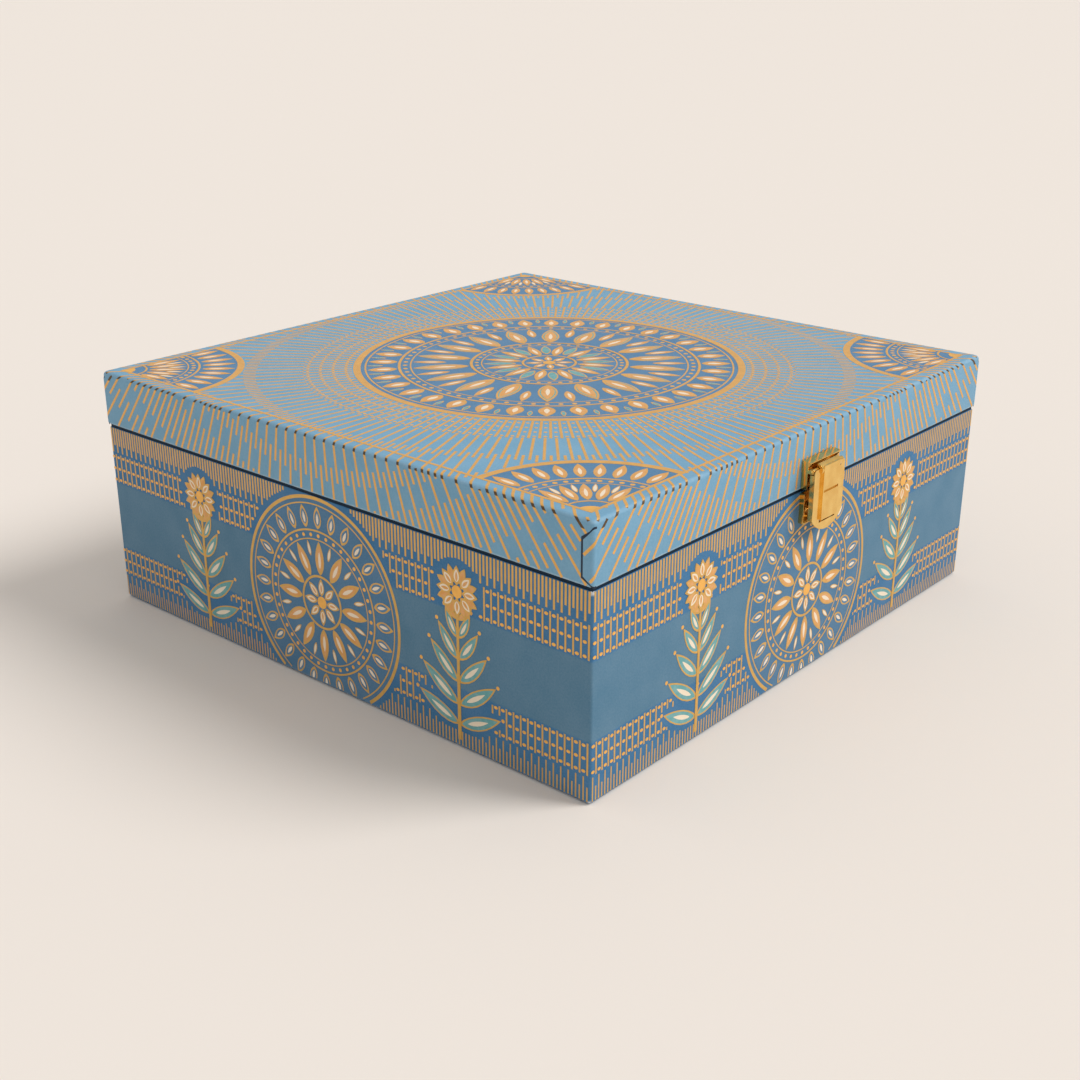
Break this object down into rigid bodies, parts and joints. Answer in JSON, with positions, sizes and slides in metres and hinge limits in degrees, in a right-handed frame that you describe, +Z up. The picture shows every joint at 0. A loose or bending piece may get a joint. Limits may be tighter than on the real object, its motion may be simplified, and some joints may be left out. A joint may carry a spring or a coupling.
{
  "type": "sweet jar box",
  "caption": "Square hinged gift box of board wrapped in blue and gold printed paper, with a front lever clasp and a card tray of capped glass jars for sweets.",
  "frame": {"origin": "centre of the bottom face, on the surface the box stands on", "axes": "+Z up, -Y out of the front face with the clasp, +X to the right seen from the front"},
  "size_m": [0.254, 0.2676, 0.0985],
  "materials": {
    "printed_paper": "matt laminated print in blues with gold foil lines",
    "navy_paper": "matt dyed lining paper",
    "grey_board": "raw pressed board",
    "tray_card": "matt coated card",
    "gold_metal": "polished gold plate",
    "jar_glass": "clear polished glass",
    "cap_tin": "gold lacquered tin",
    "seal_foam": "matt foam"
  },
  "bodies": {
    "base": {"base_back_board": "grey_board", "base_bottom_sheet": "navy_paper", "base_clasp_screw_left": "gold_metal", "base_clasp_screw_right": "gold_metal", "base_floor_board": "grey_board", "base_floor_lining": "navy_paper", "base_front_board": "grey_board", "base_hinge_screw_left_1": "gold_metal", "base_hinge_screw_left_2": "gold_metal", "base_hinge_screw_right_1": "gold_metal", "base_hinge_screw_right_2": "gold_metal", "base_left_board": "grey_board", "base_right_board": "grey_board", "base_wrap": "printed_paper", "clasp_catch": "gold_metal", "hinge_base_leaf_left": "gold_metal", "hinge_base_leaf_right": "gold_metal", "hinge_pin_left": "gold_metal", "hinge_pin_right": "gold_metal", "jar_1": "jar_glass", "jar_2": "jar_glass", "jar_3": "jar_glass", "jar_4": "jar_glass", "jar_tray": "tray_card", "neck_back_board": "navy_paper", "neck_front_board": "navy_paper", "neck_left_board": "navy_paper", "neck_right_board": "navy_paper"},
    "lid": {"clasp_bracket": "gold_metal", "clasp_pin": "gold_metal", "hinge_lid_leaf_left": "gold_metal", "hinge_lid_leaf_right": "gold_metal", "lid_back_board": "grey_board", "lid_clasp_screw_left": "gold_metal", "lid_clasp_screw_right": "gold_metal", "lid_front_board": "grey_board", "lid_hinge_screw_left_1": "gold_metal", "lid_hinge_screw_left_2": "gold_metal", "lid_hinge_screw_right_1": "gold_metal", "lid_hinge_screw_right_2": "gold_metal", "lid_left_board": "grey_board", "lid_right_board": "grey_board", "lid_top_board": "grey_board", "lid_top_lining": "navy_paper", "lid_wrap": "printed_paper"},
    "clasp_lever": {"clasp_lever": "gold_metal"},
    "jar_cap_1": {"jar_cap_1": "cap_tin", "jar_seal_1": "seal_foam"},
    "jar_cap_2": {"jar_cap_2": "cap_tin", "jar_seal_2": "seal_foam"},
    "jar_cap_3": {"jar_cap_3": "cap_tin", "jar_seal_3": "seal_foam"},
    "jar_cap_4": {"jar_cap_4": "cap_tin", "jar_seal_4": "seal_foam"}
  },
  "joints": [
    {"name": "lid_hinge", "type": "hinge", "parent": "base", "child": "lid", "pos_m": [0, 0.12925, 0.07595], "axis": [-1, 0, 0], "range_deg": [0, 105]},
    {"name": "clasp_pivot", "type": "hinge", "parent": "lid", "child": "clasp_lever", "pos_m": [0, -0.13125, 0.0842], "axis": [-1, 0, 0], "range_deg": [0, 110]},
    {"name": "jar_cap_1_turn", "type": "hinge", "parent": "base", "child": "jar_cap_1", "pos_m": [-0.0584, -0.0584, 0.0786], "axis": [0, 0, 1], "range_deg": [0, 90]},
    {"name": "jar_cap_2_turn", "type": "hinge", "parent": "base", "child": "jar_cap_2", "pos_m": [0.0584, -0.0584, 0.0786], "axis": [0, 0, 1], "range_deg": [0, 90]},
    {"name": "jar_cap_3_turn", "type": "hinge", "parent": "base", "child": "jar_cap_3", "pos_m": [-0.0584, 0.0584, 0.0786], "axis": [0, 0, 1], "range_deg": [0, 90]},
    {"name": "jar_cap_4_turn", "type": "hinge", "parent": "base", "child": "jar_cap_4", "pos_m": [0.0584, 0.0584, 0.0786], "axis": [0, 0, 1], "range_deg": [0, 90]}
  ]
}
